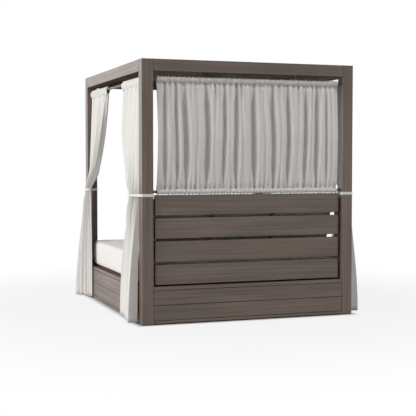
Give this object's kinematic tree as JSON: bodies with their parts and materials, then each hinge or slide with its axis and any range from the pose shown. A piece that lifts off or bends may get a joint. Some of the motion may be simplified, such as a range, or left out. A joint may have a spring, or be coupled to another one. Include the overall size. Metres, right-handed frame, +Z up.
{
  "type": "outdoor daybed with canopy",
  "caption": "Square outdoor daybed with posts, a boarded canopy roof, slatted back, mattress, leaning back cushions and tied curtains on rods.",
  "frame": {"origin": "on the ground, at the middle of the footprint", "axes": "+Z up, +Y towards the slatted back, -Y towards the open front, +X to the side that is on the left when seen from behind"},
  "size_m": [2.0808, 2.0338, 2.1],
  "materials": {
    "wood_look": "grey-brown wood grain, satin",
    "foot_plastic": "matte",
    "rod_metal": "satin paint in the frame's colour",
    "back_curtain_cloth": "matte woven outdoor cloth",
    "side_curtain_cloth": "matte woven outdoor cloth",
    "band_cloth": "matte woven outdoor cloth",
    "mattress_cloth": "matte woven outdoor cloth",
    "cushion_cloth": "matte woven outdoor cloth"
  },
  "bodies": {
    "frame": {"post_back_left": "wood_look", "post_front_left": "wood_look", "post_back_right": "wood_look", "post_front_right": "wood_look", "top_beam_back": "wood_look", "base_rail_back": "wood_look", "upper_plank_back": "wood_look", "lower_plank_back": "wood_look", "sill_back": "wood_look", "top_beam_front": "wood_look", "base_rail_front": "wood_look", "upper_plank_front": "wood_look", "lower_plank_front": "wood_look", "sill_front": "wood_look", "top_beam_left": "wood_look", "base_rail_left": "wood_look", "upper_plank_left": "wood_look", "lower_plank_left": "wood_look", "sill_left": "wood_look", "top_beam_right": "wood_look", "base_rail_right": "wood_look", "upper_plank_right": "wood_look", "lower_plank_right": "wood_look", "sill_right": "wood_look", "roof_rafter": "wood_look", "roof_panel_left": "wood_look", "roof_panel_right": "wood_look", "deck": "wood_look", "deck_ledger_left": "wood_look", "deck_ledger_right": "wood_look", "deck_crossbeam": "wood_look", "back_slat_1": "wood_look", "back_slat_2": "wood_look", "back_slat_3": "wood_look", "back_slat_4": "wood_look", "slat_batten_left": "wood_look", "slat_batten_right": "wood_look", "foot_back_left": "foot_plastic", "foot_front_left": "foot_plastic", "foot_back_right": "foot_plastic", "foot_front_right": "foot_plastic", "curtain_rod_back_upper": "rod_metal", "curtain_rod_back_lower": "rod_metal", "curtain_rod_left": "rod_metal", "curtain_rod_right": "rod_metal", "rod_hanger_left": "rod_metal", "rod_hanger_right": "rod_metal", "back_curtain": "back_curtain_cloth", "tie_band_back_left": "band_cloth", "tie_band_front_left": "band_cloth", "tie_band_back_right": "band_cloth", "tie_band_front_right": "band_cloth"},
    "side_curtain_back_left": {"side_curtain_back_left": "side_curtain_cloth"},
    "side_curtain_front_left": {"side_curtain_front_left": "side_curtain_cloth"},
    "side_curtain_back_right": {"side_curtain_back_right": "side_curtain_cloth"},
    "side_curtain_front_right": {"side_curtain_front_right": "side_curtain_cloth"},
    "mattress": {"mattress": "mattress_cloth"},
    "back_cushion_left": {"back_cushion_left": "cushion_cloth"},
    "back_cushion_middle": {"back_cushion_middle": "cushion_cloth"},
    "back_cushion_right": {"back_cushion_right": "cushion_cloth"}
  },
  "joints": [
    {"name": "curtain_draw_back_left", "type": "slide", "parent": "frame", "child": "side_curtain_back_left", "axis": [0, -1, 0], "range_m": [0, 0.25], "deforming": ["side_curtain_back_left"]},
    {"name": "curtain_draw_front_left", "type": "slide", "parent": "frame", "child": "side_curtain_front_left", "axis": [0, 1, 0], "range_m": [0, 0.25], "deforming": ["side_curtain_front_left"]},
    {"name": "curtain_draw_back_right", "type": "slide", "parent": "frame", "child": "side_curtain_back_right", "axis": [0, -1, 0], "range_m": [0, 0.25], "deforming": ["side_curtain_back_right"]},
    {"name": "curtain_draw_front_right", "type": "slide", "parent": "frame", "child": "side_curtain_front_right", "axis": [0, 1, 0], "range_m": [0, 0.25], "deforming": ["side_curtain_front_right"]},
    {"name": "mattress_lift", "type": "slide", "parent": "frame", "child": "mattress", "axis": [0, 0, 1], "range_m": [0, 0.2]},
    {"name": "cushion_lift_left", "type": "slide", "parent": "mattress", "child": "back_cushion_left", "axis": [0, 0, 1], "range_m": [0, 0.25]},
    {"name": "cushion_lift_middle", "type": "slide", "parent": "mattress", "child": "back_cushion_middle", "axis": [0, 0, 1], "range_m": [0, 0.25]},
    {"name": "cushion_lift_right", "type": "slide", "parent": "mattress", "child": "back_cushion_right", "axis": [0, 0, 1], "range_m": [0, 0.25]}
  ]
}
